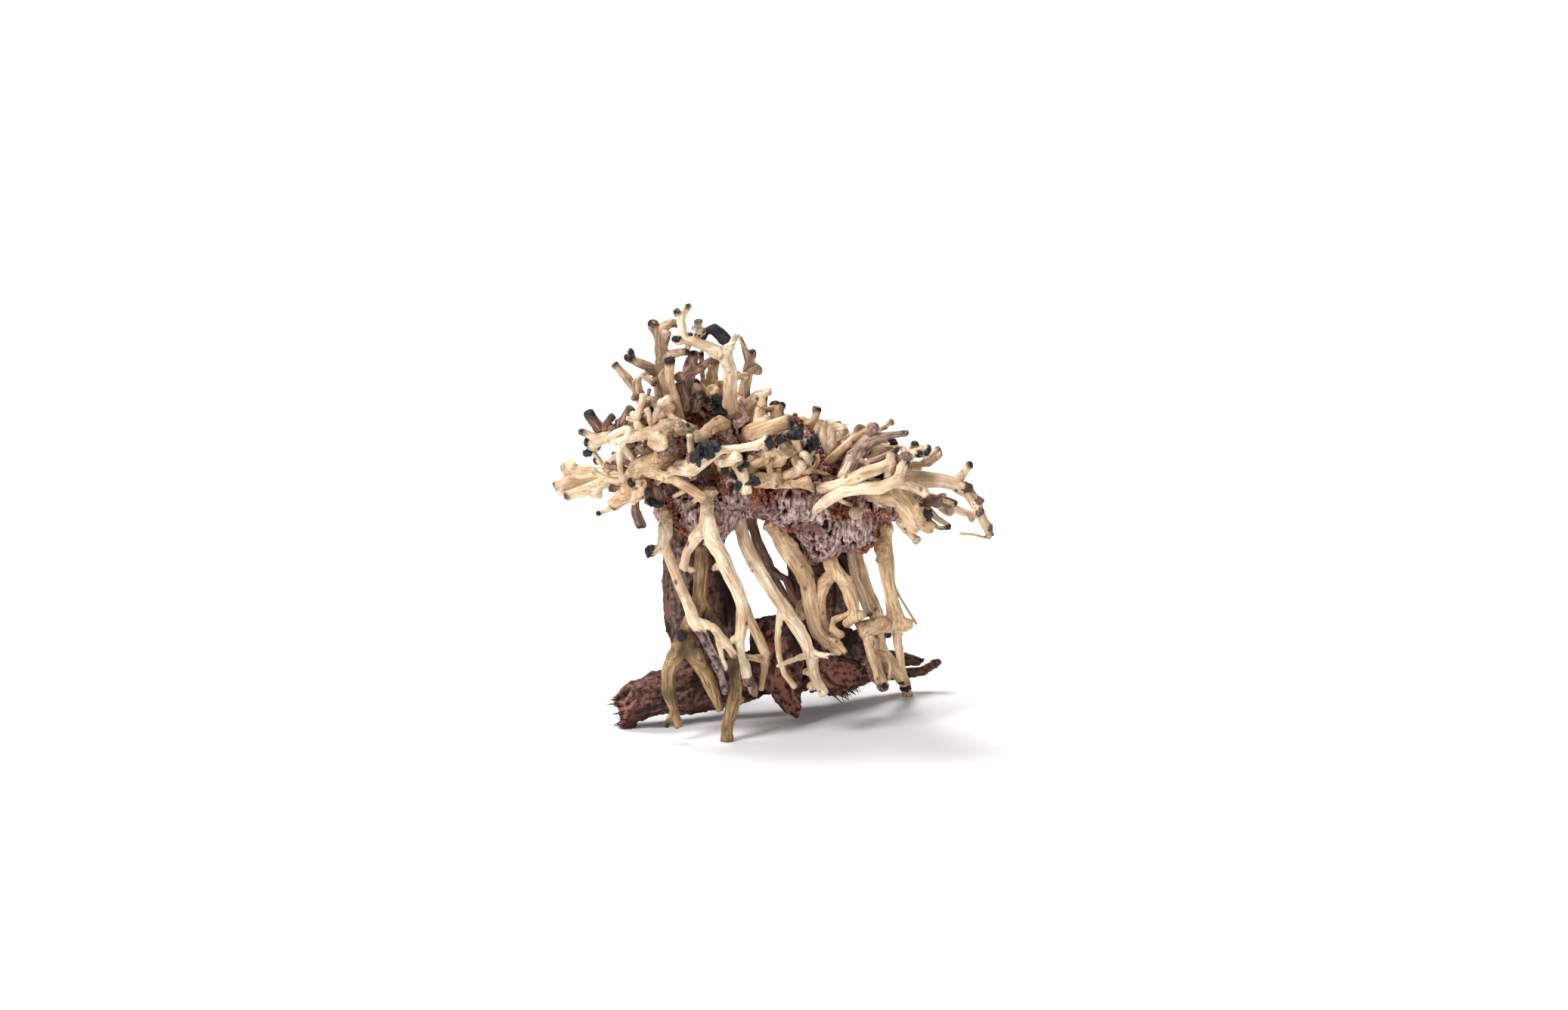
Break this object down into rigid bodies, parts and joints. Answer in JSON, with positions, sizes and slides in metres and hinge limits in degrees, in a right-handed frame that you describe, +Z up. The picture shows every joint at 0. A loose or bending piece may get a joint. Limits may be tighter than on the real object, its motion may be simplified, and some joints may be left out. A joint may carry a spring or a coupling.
{
  "type": "dry root",
  "caption": "Free-standing ornament of pale dry roots glued with a sawdust binder onto dark driftwood, with forked legs below and a spreading crown above.",
  "frame": {"origin": "middle of the bounding box's underside, on the surface that the feet stand on", "axes": "+Z up, +X to the right seen from the front, -Y towards the front, where the pale legs hang"},
  "size_m": [0.1794, 0.0962, 0.1822],
  "materials": {
    "pale_root": "matte",
    "tan_root": "matte",
    "mossy_root": "matte",
    "brown_root": "matte",
    "grey_bark": "matte",
    "mauve_root": "matte",
    "char": "satin",
    "dark_wood": "matte",
    "red_wood": "matte",
    "binder": "matte"
  },
  "bodies": {
    "root": {"base_log": "red_wood", "middle_block": "red_wood", "left_post": "dark_wood", "right_post": "dark_wood", "splintered_wedge": "red_wood", "dark_burl": "dark_wood", "upper_sliver": "dark_wood", "lower_sliver": "dark_wood", "sawdust_binder": "binder", "front_forked_leg": "pale_root", "left_outer_leg": "pale_root", "splayed_leg": "mossy_root", "front_prop_leg": "mossy_root", "inner_small_leg": "tan_root", "centre_long_leg": "pale_root", "centre_shadow_leg": "brown_root", "centre_thick_leg": "tan_root", "arched_leg": "tan_root", "right_back_leg": "tan_root", "right_outer_leg": "tan_root", "right_twin_props": "tan_root", "right_inner_root": "pale_root", "back_left_leg": "tan_root", "back_right_leg": "tan_root", "far_left_flare": "pale_root", "left_elbow_root": "tan_root", "left_back_prongs": "pale_root", "left_prong_root": "pale_root", "knuckle_root": "pale_root", "left_spire": "grey_bark", "arched_spar": "pale_root", "middle_spar": "brown_root", "back_pale_spar": "tan_root", "charred_top_stub": "char", "right_spar_pair": "grey_bark", "small_fork_stub": "pale_root", "thick_right_log": "tan_root", "bone_spar": "pale_root", "hanging_knobbed_root": "pale_root", "broad_tan_root": "tan_root", "fan_root": "tan_root", "black_tipped_cluster": "pale_root", "hanging_brown_stubs": "brown_root", "left_upper_fork": "grey_bark", "splintered_stump": "tan_root", "pale_fan_root": "tan_root", "curled_stub_root": "pale_root", "white_thick_root": "pale_root", "long_diagonal_root": "tan_root", "mauve_spar": "mauve_root", "upper_front_root": "pale_root", "lower_front_root": "pale_root", "thick_right_hanger": "tan_root", "long_right_arm": "pale_root", "lower_right_arms": "pale_root", "right_upper_stubs": "pale_root", "back_left_spread": "tan_root", "back_middle_spread": "pale_root", "back_right_spread": "tan_root", "back_low_root": "pale_root"}
  },
  "joints": []
}
